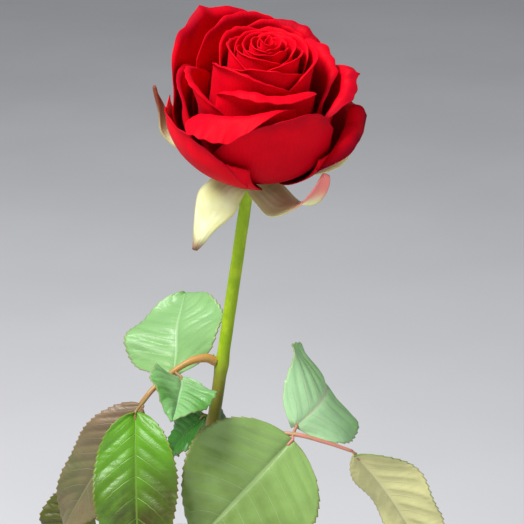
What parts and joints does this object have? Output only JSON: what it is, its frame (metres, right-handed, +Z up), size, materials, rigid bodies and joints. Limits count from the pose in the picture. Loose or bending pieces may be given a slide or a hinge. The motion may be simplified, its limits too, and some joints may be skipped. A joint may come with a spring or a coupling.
{
  "type": "rose in a bud vase",
  "caption": "Single long-stemmed red rose with pinnate leaves, leaning in a slender bottle-shaped ceramic bud vase.",
  "frame": {"origin": "middle of the vase's flat foot, on the surface it stands on", "axes": "+Z up, -Y the front, the side the bloom nods towards; +X the side the stem leans to"},
  "size_m": [0.1694, 0.1127, 0.3962],
  "materials": {
    "vase_glaze": "glossy off-white glaze over stoneware",
    "stem_skin": "smooth satin green bark, brown at the nodes",
    "petiole_skin": "satin, brown to pinkish red",
    "leaf_blade": "waxy satin leaf with sunken veins and a pale underside",
    "sepal_skin": "matt pale yellow green, pink to brown at the tips",
    "petal_velvet": "soft velvet deep red with a faint pink sheen"
  },
  "bodies": {
    "root": {"back_leaf_left_leaflet": "leaf_blade", "back_leaf_petiole": "petiole_skin", "back_leaf_right_leaflet": "leaf_blade", "back_leaf_tip_leaflet": "leaf_blade", "hip": "stem_skin", "left_leaf_front_leaflet": "leaf_blade", "left_leaf_inner_leaflet": "leaf_blade", "left_leaf_petiole": "petiole_skin", "left_leaf_side_leaflet": "leaf_blade", "left_leaf_tip_leaflet": "leaf_blade", "left_leaf_upper_leaflet": "leaf_blade", "petal_01": "petal_velvet", "petal_02": "petal_velvet", "petal_03": "petal_velvet", "petal_04": "petal_velvet", "petal_05": "petal_velvet", "petal_06": "petal_velvet", "petal_07": "petal_velvet", "petal_08": "petal_velvet", "petal_09": "petal_velvet", "petal_10": "petal_velvet", "petal_11": "petal_velvet", "petal_12": "petal_velvet", "petal_13": "petal_velvet", "petal_14": "petal_velvet", "petal_15": "petal_velvet", "petal_16": "petal_velvet", "petal_17": "petal_velvet", "petal_18": "petal_velvet", "petal_19": "petal_velvet", "petal_20": "petal_velvet", "petal_21": "petal_velvet", "petal_22": "petal_velvet", "petal_23": "petal_velvet", "petal_24": "petal_velvet", "petal_25": "petal_velvet", "petal_26": "petal_velvet", "petal_27": "petal_velvet", "petal_28": "petal_velvet", "petal_29": "petal_velvet", "petal_30": "petal_velvet", "petal_31": "petal_velvet", "right_leaf_front_leaflet": "leaf_blade", "right_leaf_petiole": "petiole_skin", "right_leaf_tip_leaflet": "leaf_blade", "right_leaf_upper_leaflet": "leaf_blade", "sepal_back": "sepal_skin", "sepal_front_left": "sepal_skin", "sepal_front_right": "sepal_skin", "sepal_left": "sepal_skin", "sepal_right": "sepal_skin", "stem": "stem_skin", "vase": "vase_glaze"}
  },
  "joints": []
}
